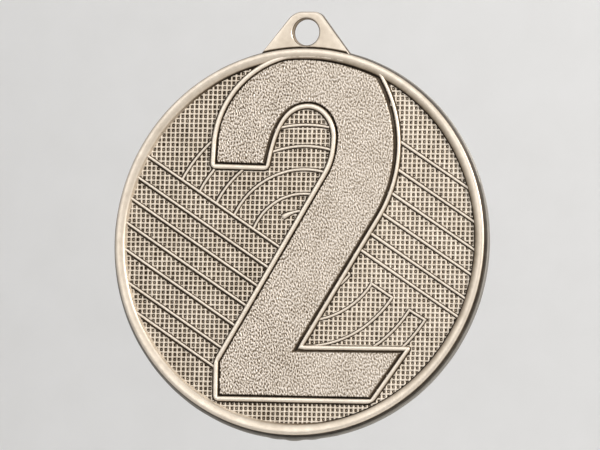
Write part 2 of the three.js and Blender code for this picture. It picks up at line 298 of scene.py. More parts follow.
def arc(centre, radius, start, end, endpoint=False):
    count = max(2, round(abs(math.radians(end - start)) * radius / STEP))
    angle = np.radians(np.linspace(start, end, count, endpoint=endpoint))
    return np.array(centre) + radius * np.stack([np.cos(angle), np.sin(angle)], 1)


def numeral_outline():
    """The outer edge of the numeral's bead, anticlockwise, as in the CAD part."""
    bow = arc(*RIGHT_BOW, -30.6, 33.7)
    left_bow = arc(*LEFT_BOW, 102, 180)
    stretches = [
        line(HOOK_LEFT, HOOK_RIGHT),
        bezier(HOOK_RIGHT, (-3.75, 12.4), (-3, 17.15), BOWL_TOP),
        bezier(BOWL_TOP, (2.9, 17.15), (3.96, 14.86), BOWL_RIGHT),
        bezier(BOWL_RIGHT, (3.96, 10.18), (3.23, 9.44), BOWL_FOOT),
        line(BOWL_FOOT, KNEE),
        line(KNEE, FOOT_LEFT),
        line(FOOT_LEFT, FOOT_RIGHT),
        line(FOOT_RIGHT, FOOT_TIP),
        line(FOOT_TIP, INNER_CORNER),
        line(INNER_CORNER, bow[0]),
        bow,
        arc((0, 0), CROWN_RADIUS, 64.8, 95.4),
        left_bow,
        line(left_bow[-1], HOOK_LEFT)[1:],
    ]
    return np.concatenate(stretches)


def unit(vectors):
    return vectors / np.linalg.norm(vectors, axis=1, keepdims=True)


def corner_turns(points):
    """How far the outline turns left at each point, in radians."""
    before = unit(points - np.roll(points, 1, 0))
    after = unit(np.roll(points, -1, 0) - points)
    cross = before[:, 0] * after[:, 1] - before[:, 1] * after[:, 0]
    return np.arctan2(cross, (before * after).sum(1)), before, after


def inwards(before, after):
    """For each point, the move that shifts the outline inwards by 1 with its corners kept sharp."""
    both = before + after
    return np.stack([-both[:, 1], both[:, 0]], 1) / (1 + (before * after).sum(1))[:, None]


def bead_edges(points):
    """The bead's outer edge with rounded corners, and its inner edge with sharp ones, point by point."""
    turns, before, after = corner_turns(points)
    moves = inwards(before, after)
    outer, inner = points.copy(), points + moves * BEAD_WIDTH
    for k in np.flatnonzero(turns > SHARPEST_BEND):
        along = np.arange(-CORNER_REACH, CORNER_REACH + 1)
        near = (k + along) % len(points)
        side = np.where(along < 0, -1, 1)
        distance = side * np.linalg.norm(points[near] - points[k], axis=1)
        reach = BEAD_WIDTH * math.tan(turns[k] / 2)
        inner[near[np.abs(distance) < reach]] = points[k] + moves[k] * BEAD_WIDTH
        rounded = np.abs(distance) < CORNER_ROUNDING
        t = ((distance[rounded] / CORNER_ROUNDING + 1) / 2)[:, None]
        start, end = points[k] - before[k] * CORNER_ROUNDING, points[k] + after[k] * CORNER_ROUNDING
        outer[near[rounded]] = (1 - t) ** 2 * start + 2 * t * (1 - t) * points[k] + t * t * end
    return outer, inner


def inside(outline, points):
    """Which points lie inside a closed outline."""
    result = np.zeros(len(points), bool)
    x, z = points[:, 0], points[:, 1]
    for (x1, z1), (x2, z2) in zip(outline, np.roll(outline, -1, 0)):
        if z1 != z2:
            crossing = x1 + (z - z1) * (x2 - x1) / (z2 - z1)
            result ^= ((z1 > z) != (z2 > z)) & (x < crossing)
    return result


def depth_inside(outline, points):
    """Each point's distance from a closed outline, negative outside it, and the nearest outline point."""
    tree = KDTree(len(outline))
    for index, (x, z) in enumerate(outline):
        tree.insert((x, z, 0), index)
    tree.balance()
    found = [tree.find((x, z, 0))[1:] for x, z in points]
    nearest, distance = np.array(found).T
    return np.where(inside(outline, points), distance, -distance), nearest.astype(int)


def sampled(outline):
    """Points close together along a closed outline, and the inward direction at each."""
    points, ways = [], []
    for start, end in zip(outline, np.roll(outline, -1, 0)):
        length = np.linalg.norm(end - start)
        if length < 1e-6:
            continue
        count = max(1, round(length / FINE_STEP))
        along = (end - start) / length
        points.append(start + (end - start) * (np.arange(count) / count)[:, None])
        ways.append(np.tile((-along[1], along[0]), (count, 1)))
    return np.concatenate(points), np.concatenate(ways)


OUTLINE = numeral_outline()
OUTER_EDGE, INNER_EDGE = bead_edges(OUTLINE)


# ---- disc and rims ----
def turned(name, profile, material, nodes, shape=None, tint=None):
    """A closed ring turned about the disc's axis from a profile of (radius, y, patina)."""
    profile = np.array(profile)
    angle = np.linspace(0, 2 * math.pi, RING_STEPS, endpoint=False)
    radius = np.repeat(profile[:, :1], RING_STEPS, 1)
    level = np.repeat(profile[:, 1:2], RING_STEPS, 1)
    patina = np.repeat(profile[:, 2:3], RING_STEPS, 1)
    if tint:
        patina = tint(angle, radius, patina)
    if shape:
        radius, level = shape(angle, radius, level)
    points = np.stack([radius * np.cos(angle), level, radius * np.sin(angle)], -1).reshape(-1, 3)
    build(name, points, grid_faces(len(profile), RING_STEPS), patina, material, nodes)


def rim_shape(angle, radius, level):
    """The polished top of the rim is faintly wavy, and so is its inner foot."""
    exposed = smooth_step(-level, 0.3, 0.9)
    level = level + waves(angle, size=0.012, seed=5) * exposed
    inner = smooth_step(-radius, -24.1, -23.7)
    return radius + waves(angle, size=0.02, seed=6) * inner, level


def rim_painted_light_and_shade(angle, radius, patina):
    """Painted light and shade on the rim's inner flank: the dark line at its foot is painted lighter on the
    left, where the flank faces the light, and the flank is painted darker on the right, where it faces away.
    The whole rim also gets a little more patina.
    """
    side = np.cos(angle - math.radians(20))
    foot = smooth_step(-radius, -RIM_FOOT_RADIUS - 0.5, -RIM_FOOT_RADIUS - 0.2)
    painted_light_at_foot = foot * 0.8 * smooth_step(-side, -0.1, 0.7)
    flank = smooth_step(-radius, -RIM_FOOT_RADIUS - 0.95, -RIM_FOOT_RADIUS - 0.3)
    return np.clip(patina * (1 - painted_light_at_foot) + 0.09 + 0.22 * flank * smooth_step(side, 0.1, 0.8), 0, 1)


def make_rim(material):
    profile = [
        (RIM_FOOT_RADIUS - 0.14, BURIED, 1),
        (RIM_FOOT_RADIUS - 0.12, NET_FRONT + 0.1, 1),
        (RIM_FOOT_RADIUS - 0.07, NET_FRONT - 0.04, 1),
        (RIM_FOOT_RADIUS + 0.05, NET_FRONT - 0.05, 1),
        (RIM_FOOT_RADIUS + 0.09, -0.76, 0.7),
        (RIM_FOOT_RADIUS + 0.15, -0.87, 0.35),
        (RIM_FOOT_RADIUS + 0.25, -0.94, 0.2),
        (RIM_FOOT_RADIUS + 0.42, -1.005, 0.12),
        (RIM_FOOT_RADIUS + 0.62, -1.055, 0.06),
        (RIM_FOOT_RADIUS + 0.8, -1.088, 0.02),
        (RIM_FOOT_RADIUS + 0.95, RIM_FRONT, 0),
        (DISC_RADIUS - 0.42, RIM_FRONT + 0.012, 0),
        (DISC_RADIUS - 0.28, RIM_FRONT + 0.045, 0),
        (DISC_RADIUS - 0.19, RIM_FRONT + 0.09, 0.03),
        (DISC_RADIUS - 0.13, RIM_FRONT + 0.16, 0.2),
        (DISC_RADIUS - 0.1, RIM_FRONT + 0.23, 0.75),
        (DISC_RADIUS - 0.08, RIM_FRONT + 0.35, 0.85),
        (DISC_RADIUS - 0.05, -0.5, 0.85),
        (DISC_RADIUS - 0.03, BURIED, 0.85),
    ]
    turned("medal_rim", profile, material, ["rim_ring"], shape=rim_shape, tint=rim_painted_light_and_shade)


def gate_marks(x):
    """How far the trimmed casting gates at the foot of the disc stand proud, across x."""
    marks = [(-2.5, 0.8, 0.06), (-0.15, 0.95, 0.15), (2.45, 0.65, 0.08)]  # place, half width, height
    return sum(height * np.exp(-((np.abs(x - place) / half) ** 3)) for place, half, height in marks)


def edge_shape(angle, radius, level):
    """The back half of the wall is shifted, wavy, and carries the gate marks at its foot."""
    back = smooth_step(level, PARTING_LINE - 0.05, PARTING_LINE + 0.05) * (radius > DISC_RADIUS - 0.5)
    foot = np.where(np.sin(angle) < 0, gate_marks(DISC_RADIUS * np.cos(angle)), 0)
    shift = DIE_SHIFT[0] * np.cos(angle) + DIE_SHIFT[1] * np.sin(angle)
    return radius + back * (shift + foot + waves(angle, size=0.012, seed=8)), level


def make_wall(material):
    """The wall of the casting, with the die's parting line."""
    proud = DISC_RADIUS + REVERSE_PROUD
    wall = [
        (RIM_FOOT_RADIUS - 1, BURIED, 1),
        (DISC_RADIUS - 0.03, BURIED, 0.8),
        (DISC_RADIUS - 0.02, 0.05, 0.85),
        (DISC_RADIUS - 0.01, PARTING_LINE - 0.04, 0.9),
        (DISC_RADIUS + 0.04, PARTING_LINE - 0.02, 0.75),
        (DISC_RADIUS + 0.09, PARTING_LINE, 0.35),
        (DISC_RADIUS + 0.16, PARTING_LINE + 0.04, 0.15),
        (proud - 0.02, PARTING_LINE + 0.13, 0.08),
        (proud, 0.5, 0.1),
        (proud, PLATE_BACK - 0.16, 0.05),
        (proud - 0.04, PLATE_BACK - 0.05, 0.0),
        (DISC_RADIUS - 0.12, PLATE_BACK, 0.05),
        (RIM_FOOT_RADIUS + 0.1, PLATE_BACK - 0.05, 0.3),
    ]
    turned("medal_edge", wall, material, [], shape=edge_shape)


def make_reverse_rim(material):
    reverse = [
        (RIM_FOOT_RADIUS - 0.5, PLATE_BACK - 0.3, 0.8),
        (RIM_FOOT_RADIUS - 0.25, PLATE_BACK - 0.03, 0.65),
        (RIM_FOOT_RADIUS - 0.2, PLATE_BACK + 0.025, 0.6),
        (RIM_FOOT_RADIUS - 0.14, PLATE_BACK + 0.07, 0.3),
        (RIM_FOOT_RADIUS - 0.05, REVERSE_BACK - 0.05, 0.15),
        (RIM_FOOT_RADIUS + 0.04, REVERSE_BACK, 0.05),
        (DISC_RADIUS - 0.25, REVERSE_BACK, 0),
        (DISC_RADIUS - 0.1, REVERSE_BACK - 0.05, 0),
        (DISC_RADIUS - 0.03, REVERSE_BACK - 0.14, 0.05),
        (DISC_RADIUS - 0.02, PLATE_BACK - 0.3, 0.1),
    ]
    turned("reverse_rim_face", reverse, material, ["reverse_rim"])


def make_reverse(material):
    """The plain recess of the back, faintly uneven as cast, closed by a front face out of sight."""
    ring_count, step_count = 64, 240
    radii = np.linspace(0, RIM_FOOT_RADIUS - 0.1, ring_count)
    angle = np.linspace(0, 2 * math.pi, step_count, endpoint=False)
    radius, turn = np.meshgrid(radii, angle, indexing="ij")
    uneven = np.sin(radius * 1.7 + 2 * np.sin(turn * 2)) * np.sin(turn * 3 + radius)
    level = PLATE_BACK + 0.012 * uneven * smooth_step(-radius, -21.5, -18) * smooth_step(radius, 0, 3)
    back = np.stack([radius * np.cos(turn), level, radius * np.sin(turn)], -1).reshape(-1, 3)
    front_edge = back[-step_count:] * (1, 0, 1) + (0, BURIED, 0)
    front_middle = np.tile((0, BURIED, 0), (step_count, 1))
    points = np.concatenate([back, front_edge, front_middle])
    dark = 0.14 + 0.5 * smooth_step(radii, RIM_FOOT_RADIUS - 0.7, RIM_FOOT_RADIUS - 0.25)
    patina = np.repeat(np.concatenate([dark, (0.7, 0.7)])[:, None], step_count, 1)
    faces = grid_faces(ring_count + 2, step_count, close_rows=False)
    build("medal_reverse", points, faces, patina, material, ["disc_plate"])


# ---- net ----
# The net is laid out on a grid of half pitches: its bars cross at the even places, and its openings
# have their middles at the odd ones.
def net_place(column, row):
    return column * NET_PITCH / 2 + NET_ORIGIN[0], row * NET_PITCH / 2 + NET_ORIGIN[1]


def net_cells():
    """The middles of the openings that lie on the field, as places on the grid."""
    reach = int(DISC_RADIUS / NET_PITCH) + 2
    column, row = np.meshgrid(np.arange(-reach, reach) * 2 + 1, np.arange(-reach, reach) * 2 + 1)
    cells = np.stack([column.ravel(), row.ravel()], 1)
    centres = cells * NET_PITCH / 2 + NET_ORIGIN
    on_field = np.linalg.norm(centres, axis=1) < RIM_FOOT_RADIUS + NET_OVERLAP
    clear = depth_inside(OUTLINE, centres)[0] < NET_OVERLAP
    return cells[on_field & clear]


AROUND = [(-1, -1), (0, -1), (1, -1), (1, 0), (1, 1), (0, 1), (-1, 1), (-1, 0)]


class NetSheet:
    """A sheet that grows by one square at a time, each with a dished opening and a stud on its floor."""

    def __init__(self, seed):
        self.rng = np.random.default_rng(seed)
        self.points, self.patina, self.faces = [], [], []
        self.crests, self.sides = {}, []

    def crest(self, column, row):
        """The point on top of the bars at a place that squares share. The next point lies buried under it."""
        if (column, row) not in self.crests:
            x, z = net_place(column, row)
            crossing = column % 2 == 0 and row % 2 == 0
            self.crests[column, row] = len(self.points)
            level = NET_FRONT - (CROSSING_RISE if crossing else 0) + self.rng.normal(0, BAR_WOBBLE)
            x_on_top = x + self.rng.normal(0, BAR_WOBBLE)
            z_on_top = z + self.rng.normal(0, BAR_WOBBLE)
            self.points += [(x_on_top, level, z_on_top), (x, BURIED, z)]
            self.patina += [0.0 if crossing else 0.05, 1.0]
        return self.crests[column, row]

    def ring(self, centre, half, level, dark):
        """Eight points round an opening, with its corners drawn in."""
        first = len(self.points)
        for a, b in AROUND:
            pull = CORNER_PULL if a and b else 1
            self.points.append((centre[0] + a * half * pull, level, centre[1] + b * half * pull))
            self.patina.append(dark)
        return range(first, first + len(AROUND))

    def stud(self, centre, floor, wear_and_light):
        """The tip of the low stud, more or less bright at random, and painted lighter towards the right of
        the medal as painted light.
        """
        x, z = (middle + self.rng.normal(0, 0.02) for middle in centre)
        self.points.append((x, floor - STUD_HEIGHT, z))
        self.patina.append(float(np.clip(self.rng.normal(0.14 - 0.14 * wear_and_light, 0.18), 0, 1)))
        return len(self.points) - 1

    def add_square(self, column, row):
        """One opening with the bars round it. Towards the right of the medal the openings are drawn a little
        smaller, and their lips, floors and studs are painted lighter, as painted light reaching the floors
        there.
        """
        centre = [middle + self.rng.normal(0, OPENING_WOBBLE) for middle in net_place(column, row)]
        wear_and_light = smooth_step(centre[0], -6, 12)
        opening = NET_OPENING - 0.015 * wear_and_light + self.rng.normal(0, OPENING_WOBBLE)
        floor = NET_FRONT + NET_DEPTH + self.rng.normal(0, 0.025)
        top = [self.crest(column + a, row + b) for a, b in AROUND]
        lip = self.ring(centre, opening, NET_FRONT + LIP_DROP, 0.45 - 0.15 * wear_and_light)
        foot = self.ring(centre, NET_FLOOR_HALF, floor, 1.0 - 0.08 * wear_and_light)
        stud = self.stud(centre, floor, wear_and_light)
        for k in range(len(AROUND)):
            n = (k + 1) % len(AROUND)
            self.faces.append((top[k], top[n], lip[n], lip[k]))
            self.faces.append((lip[k], lip[n], foot[n], foot[k]))
            self.faces.append((foot[k], foot[n], stud))
            self.sides.append((top[k], top[n]))
        self.faces.append([corner + 1 for corner in reversed(top)])

    def close_sides(self):
        """Walls where a square has no neighbour."""
        taken = set(self.sides)
        for start, end in self.sides:
            if (end, start) not in taken:
                self.faces.append((end, start, start + 1, end + 1))


def make_net(material):
    sheet = NetSheet(seed=11)
    for column, row in net_cells():
        sheet.add_square(column, row)
    sheet.close_sides()
    nodes, slot = ["field_plate"], "patinated_metal"
    build("net_field", sheet.points, sheet.faces, sheet.patina, material, nodes, slot, sharp=80)


# ---- numeral ----
def band_noise(shape, wavelengths, lean, seed):
    """Seeded noise on the grain's grid. Its blobs are the first wavelength across and the second one
    long, and lean to the left by an angle in radians. Its spread is 1."""
    rng = np.random.default_rng(seed)
    spectrum = np.fft.fft2(rng.normal(size=shape))
    right, up = np.meshgrid(np.fft.fftfreq(shape[1], GRAIN_CELL), np.fft.fftfreq(shape[0], GRAIN_CELL))
    across = (right * math.cos(lean) + up * math.sin(lean)) * wavelengths[0]
    along = (up * math.cos(lean) - right * math.sin(lean)) * wavelengths[1]
    band = np.exp(-(((np.hypot(across, along) - 1) / 0.45) ** 2))
    made = np.real(np.fft.ifft2(spectrum * band))
    return made / made.std()


def groove_rise(depth, shade, lit_groove):
    """From 0 in the groove beside the bead to 1 on the face of the numeral."""
    # The groove is drawn wider where the bead's inner side is shaded, a painted shadow once its dark patina
    # fills it, and narrower where it is painted lighter as painted light.
    width = GROOVE_WIDTH * (1 - 0.3 * lit_groove) + GROOVE_SHADED * shade
    return smooth_step(depth - width, -GROOVE_SLOPE, 0)


def pebbles(x, z):
    """The pebbled grain over a grid, from about -1 to 1. It is strongest on the left."""
    shape = (len(z), len(x))
    coarse = band_noise(shape, wavelengths=(0.33, 0.55), lean=0.3, seed=21)
    fine = band_noise(shape, wavelengths=(0.23, 0.34), lean=0.2, seed=22)
    strength = 1.15 - 0.3 * smooth_step(x, -8, 6)
    return strength * np.tanh(0.8 * (coarse + 0.9 * fine) / 1.35) / 0.8


def beside_bead(flat):
    """For points of the numeral: how deep they lie inside the bead's inner edge, how far the face has
    risen out of the groove, how much the groove is painted lighter where it faces the light, and the lighter
    middle of the painted shadow in the wider groove on the shaded side."""
    edge, ways = sampled(INNER_EDGE)
    depth, nearest = depth_inside(edge, flat)
    shade = np.clip(-ways @ LIGHT_DIRECTION, 0, 1)
    lit_groove = smooth_step(ways @ LIT_GROOVE_DIRECTION, 0.5, 0.85)
    rise = groove_rise(depth, shade[nearest], lit_groove[nearest])
    turning = np.roll(ways[:, 0], 1) * ways[:, 1] - np.roll(ways[:, 1], 1) * ways[:, 0]
    for k in np.flatnonzero(turning < -0.5):
        beside = nearest == k
        arm = flat[beside] - edge[k]
        both = [groove_rise(arm @ ways[j], shade[j], lit_groove[j]) for j in (k - 1, k)]
        rise[beside] = np.maximum(*both)
    shadow_middle = shade[nearest] * smooth_step(depth, 0.08, 0.22) * smooth_step(-depth, -0.5, -0.36)
    return depth, rise, lit_groove[nearest], shadow_middle


def closed_sheet(grid_points, kept):
    """The squares of a grid whose corners are all kept, with walls down to the buried level and a
    bottom. The grid's own points come first, and the last result says which of them they are."""
    square = kept[:-1, :-1] & kept[1:, :-1] & kept[:-1, 1:] & kept[1:, 1:]
    number = np.arange(kept.size).reshape(kept.shape)
    quads = np.stack([number[:-1, :-1], number[:-1, 1:], number[1:, 1:], number[1:, :-1]], -1)[square]
    used = np.unique(quads)
    lookup = np.full(kept.size, -1)
    lookup[used] = np.arange(len(used))
    front = grid_points[used]
    quads = lookup[quads]
    edges = np.concatenate([quads[:, [k, (k + 1) % 4]] for k in range(4)])
    keys = {tuple(edge) for edge in edges}
    rim = [edge for edge in keys if edge[::-1] not in keys]
    rim_points = sorted({point for edge in rim for point in edge})
    under = {point: len(front) + k for k, point in enumerate(rim_points)}
    points = np.concatenate([front, front[rim_points] * (1, 0, 1) + (0, BURIED, 0)])
    faces = quads.tolist() + [(b, a, under[a], under[b]) for a, b in rim]
    follow = {under[a]: under[b] for a, b in rim}
    loop = [next(iter(follow))]
    while follow[loop[-1]] != loop[0]:
        loop.append(follow[loop[-1]])
    faces.append(loop)
    return points, faces, used


def make_panel(material):
    """The pebbled face of the numeral, sinking into a groove beside the bead."""
    low, high = INNER_EDGE.min(0) - GRAIN_CELL, INNER_EDGE.max(0) + GRAIN_CELL
    x = np.arange(low[0], high[0], GRAIN_CELL)
    z = np.arange(low[1], high[1], GRAIN_CELL)
    grid_x, grid_z = np.meshgrid(x, z)
    grain = pebbles(x, z)
    fields = beside_bead(np.stack([grid_x.ravel(), grid_z.ravel()], 1))
    depth, rise, lit_groove, shadow_middle = (field.reshape(grid_x.shape) for field in fields)
    level = GROOVE_FLOOR + (PANEL_FRONT - GROOVE_FLOOR) * rise - GRAIN_HEIGHT * grain * rise
    wear_and_light = np.clip(GRAIN_TINT[0] - GRAIN_TINT[1] * grain, 0, 0.95)
    # Painted light and shade in the groove: its dark patina is painted lighter where the groove faces the
    # light, and lighter in the middle of the wide painted shadow on the shaded side.
    patina = wear_and_light * rise + (1 - rise) * (1 - 0.35 * lit_groove - 0.35 * shadow_middle)
    grid_points = np.stack([grid_x, level, grid_z], -1).reshape(-1, 3)
    points, faces, used = closed_sheet(grid_points, depth > -PANEL_OVERLAP)
    dark = np.concatenate([patina.ravel()[used], np.ones(len(points) - len(used))])
    build("numeral_face", points, faces, dark, material, ["numeral_panel"], sharp=80)


BEAD_SECTION = [
    # place across the bead, level behind its top, patina
    (-0.05, 0.42, 1.0),
    (0.0, 0.3, 0.9),
    (0.07, 0.13, 0.4),
    (0.17, 0.035, 0.08),
    (0.32, 0.004, 0.0),
    (0.5, 0.0, 0.0),
    (0.68, 0.004, 0.0),
    (0.83, 0.035, 0.08),
    (0.93, 0.13, 0.4),
    (0.99, 0.3, 0.9),
    (1.03, 0.5, 1.0),
    (1.06, 0.88, 1.0),
]


def make_bead(material):
    """The rounded border along the numeral's outline, with a dark seam along its outer foot: patina in the
    crevice, drawn wider as a painted shadow on the sides that face away from the light.
    """
    across, behind, dark = np.array(BEAD_SECTION).T
    rng = np.random.default_rng(31)
    count = len(OUTER_EDGE)
    wobble = np.convolve(np.tile(rng.normal(size=count), 3), np.ones(9) / 9, "same")[count:-count]
    ways = unit(inwards(*corner_turns(OUTLINE)[1:]))
    # Painted shadow: the dark skirt is wider where the bead's outer side faces away from the light, and where
    # its inner side faces away from the light the bead's inner half is drawn narrower, leaving more of the
    # dark groove in view as painted shade.
    seam_and_shadow = 0.07 + 0.17 * np.clip(ways @ LIGHT_DIRECTION, 0, 1)
    narrowed = 1 - 0.25 * np.clip(-ways @ LIGHT_DIRECTION, 0, 1)
    share = (across[None, :] * np.where(across > 0.4, narrowed[:, None], 1))[..., None]
    crown = OUTER_EDGE[:, None] * (1 - share) + INNER_EDGE[:, None] * share
    skirt = np.repeat((OUTER_EDGE - ways * seam_and_shadow[:, None])[:, None], 2, 1)
    flat = np.concatenate([skirt, crown], 1)
    top = BEAD_FRONT + behind[None, :] + 0.02 * wobble[:, None] * (behind < 0.2)
    foot = np.tile((BURIED, NET_FRONT - 0.05), (count, 1))
    level = np.concatenate([foot, top], 1)
    points = np.stack([flat[..., 0], level, flat[..., 1]], -1).reshape(-1, 3)
    patina = np.tile(np.concatenate([(1, 0.9), dark]), (count, 1))
    build("numeral_bead", points, grid_faces(*level.shape), patina, material, ["numeral_border"])


# ---- ridges ----
RIDGE_SECTION = [
    # place across the ridge, share of its height, patina
    (-0.19, 0.16, 1.0),
    (-0.17, 0.4, 0.8),
    (-0.125, 0.8, 0.12),
    (-0.05, 1.0, 0.0),
    (0.05, 1.0, 0.0),
    (0.125, 0.8, 0.12),
    (0.17, 0.4, 0.8),
    (0.19, 0.16, 1.0),
]


def margins(path, side):
    """The dark margins beside a ridge: patina in the crevice on both sides, with the one on the side that
    faces away from the light drawn wider as a painted shadow, less so towards the right of the medal.
    """
    facing = side @ LIGHT_DIRECTION
    extra = 0.2 - 0.11 * smooth_step(path[:, 0], -4, 8)
    return 0.06 + extra * np.clip(-facing, 0, 1), 0.06 + extra * np.clip(facing, 0, 1)


def ridge_mesh(path, taper=0.0, swell=0.0):
    """A rounded ridge along a path. With a taper its first stretch swells to a blunt end; with a swell
    it starts broader and softer by that share."""
    across, height, dark = np.array(RIDGE_SECTION).T
    along = unit(np.gradient(path, axis=0))
    side = np.stack([-along[:, 1], along[:, 0]], 1)
    distance = np.concatenate([[0], np.cumsum(np.linalg.norm(np.diff(path, axis=0), axis=1))])
    full = np.ones(len(path))
    if taper:
        full = np.sqrt(np.clip(1 - np.clip(1 - distance / taper, 0, 1) ** 2, 0.01, 1))
    broad = 1 + swell * (1 - smooth_step(distance / distance[-1], 0.0, 0.75))
    lit, shaded = margins(path, side)
    place = across[None, :] * (full * broad)[:, None]
    left, right = place[:, :1] - shaded[:, None], place[:, -1:] + lit[:, None]
    place = np.concatenate([left, left, place, right, right], 1)
    buried, low = np.full((len(path), 1), RIDGE_ROOT), np.full((len(path), 1), MARGIN_RISE)
    rise = np.concatenate([buried, low, height[None, :] * full[:, None], low, buried], 1)
    flat = path[:, None] + side[:, None] * place[..., None]
    level = NET_FRONT + (RIDGE_FRONT - NET_FRONT) * rise
    points = np.stack([flat[..., 0], level, flat[..., 1]], -1).reshape(-1, 3)
    columns = len(across) + 4
    faces = grid_faces(len(path), columns, close_rows=False).tolist()
    faces.append(list(range(columns)))
    faces.append(list(range(len(points) - columns, len(points))))
    patina = np.concatenate([[1, 0.85], dark, [0.85, 1]])
    return points, faces, np.repeat(patina[None, :], len(path), 0).ravel()


def flat_points(node):
    """The corners of a CAD node in x and z from the disc's centre."""
    corners = np.array([vertex.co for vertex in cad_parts[node].data.vertices]) / MM
    return corners[:, [0, 2]] - (0, DISC_CENTRE_Z)


def straight_path(node):
    """The middle line of a straight CAD ridge, run on at both ends."""
    corners = flat_points(node)
    middle = (corners.min(0) + corners.max(0)) / 2
    along = np.linalg.svd(corners - middle)[2][0]
    along = along * np.sign(along[0])
    reach = np.abs((corners - middle) @ along).max() + RIDGE_RUN_ON
    return np.concatenate([line(middle - along * reach, middle + along * reach), [middle + along * reach]])


def arc_path(node, centre, run_on):
    """The middle line of a curved CAD ridge, from its lowest angle, run on at its two ends."""
    arm = flat_points(node) - centre
    distance, angle = np.linalg.norm(arm, axis=1), np.degrees(np.arctan2(arm[:, 1], arm[:, 0]))
    radius = (distance.min() + distance.max()) / 2
    before, after = (math.degrees(extra / radius) for extra in run_on)
    return arc(centre, radius, angle.min() - before, angle.max() + after, endpoint=True)


def join(parts):
    """Several closed bodies as one list of points, faces and patina."""
    points, faces, patina, count = [], [], [], 0
    for part_points, part_faces, part_patina in parts:
        faces += [[corner + count for corner in face] for face in part_faces]
        points.append(part_points)
        patina.append(part_patina)
        count += len(part_points)
    return np.concatenate(points), faces, np.concatenate(patina)


def bar(start, end):
    """A straight ridge from point to point."""
    return ridge_mesh(np.concatenate([line(start, end), [end]]))


def on_circle(radius, angle):
    """A point on a circle of the lanes."""
    return arc(LANE_CENTRE, radius, angle, angle + 1)[0]


def lane_parts(inner, outer, inner_start, outer_start, inner_end, outer_end):
    """Two arcs from under the bead to the bar that closes them."""
    parts = []
    for radius, start, end in ((inner, inner_start, inner_end), (outer, outer_start, outer_end)):
        under_bead = math.degrees(2 * RIDGE_RUN_ON / radius)
        parts.append(ridge_mesh(arc(LANE_CENTRE, radius, start - under_bead, end, endpoint=True)))
    overlap = 0.12
    parts.append(bar(on_circle(inner - overlap, inner_end), on_circle(outer + overlap, outer_end)))
    return parts


def make_sliver(material):
    radius, start, end = SLIVER
    path = arc(LANE_CENTRE, radius, start, end, endpoint=True)
    parts = [ridge_mesh(path), bar(path[-1], on_circle(radius - SLIVER_TICK, end))]
    build("lane_sliver_relief", *join(parts), material, [])


def make_ridges(material):
    """Each ridge along the middle line of its CAD node, and the lanes along their own arcs."""
    for node in sorted(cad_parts):
        family = node.rsplit("_", 1)[0]
        if family == "left_ridge":
            parts = [ridge_mesh(straight_path(node))]
        elif family == "right_ridge":
            parts = [ridge_mesh(straight_path(node), swell=0.2)]
        elif family in ("bend_ridge", "bowl_ridge"):
            parts = [ridge_mesh(arc_path(node, BEND_CENTRE, (RIDGE_RUN_ON, RIDGE_RUN_ON)))]
        elif node == "short_ridge":
            path = arc_path(node, BEND_CENTRE, (RIDGE_RUN_ON, 0.1))
            parts = [ridge_mesh(path[::-1], taper=0.35, swell=1.2)]
        elif node in LANES:
            parts = lane_parts(*LANES[node])
        else:
            continue
        build(node + "_relief", *join(parts), material, [node])


# ---- lug ----
def lug_shoulder(rounding):
    """The right-hand side of the lug, from below the shoulder up to the flat top."""
    slant = math.hypot(1, LUG_SIDE_SLOPE)
    corner = np.array([LUG_SHOULDER_HALF, LUG_TOP])
    below = corner + np.array([1, -LUG_SIDE_SLOPE]) * rounding / slant
    before = corner - (rounding, 0)
    t = np.linspace(0, 1, 16)[:, None]
    bend = (1 - t) ** 2 * below + 2 * t * (1 - t) * corner + t * t * before
    return np.concatenate([[corner + np.array([1, -LUG_SIDE_SLOPE]) * LUG_SIDE_RUN], bend])


def lug_outline():
    """The lug's outline from the centre of its hole: flat top, rounded shoulders, sloping sides."""
    right, left = (lug_shoulder(rounding) for rounding in LUG_SHOULDER_ROUNDINGS)
    return np.concatenate([right, left[::-1] * (-1, 1)])


def reach_to(outline, directions):
    """How far each direction from the origin runs until it meets a closed outline."""
    start, end = outline, np.roll(outline, -1, 0)
    edge = end - start
    cross = directions[:, None, 0] * edge[None, :, 1] - directions[:, None, 1] * edge[None, :, 0]
    cross = np.where(np.abs(cross) < 1e-12, 1e-12, cross)
    reach = (start[:, 0] * edge[:, 1] - start[:, 1] * edge[:, 0])[None, :] / cross
    along = (start[None, :, 0] * directions[:, None, 1] - start[None, :, 1] * directions[:, None, 0]) / cross
    return np.where((reach > 0) & (along >= -1e-9) & (along <= 1 + 1e-9), reach, np.inf).min(1)


def reach_to_root(directions):
    """How far each direction runs until it meets the circle where the lug's root ends in the rim."""
    centre = np.array([0, DISC_CENTRE_Z])
    nearest = directions @ centre
    inner = nearest**2 - centre @ centre + LUG_ROOT_RADIUS**2
    return np.where((inner > 0) & (nearest > 0), nearest - np.sqrt(np.maximum(inner, 0)), np.inf)


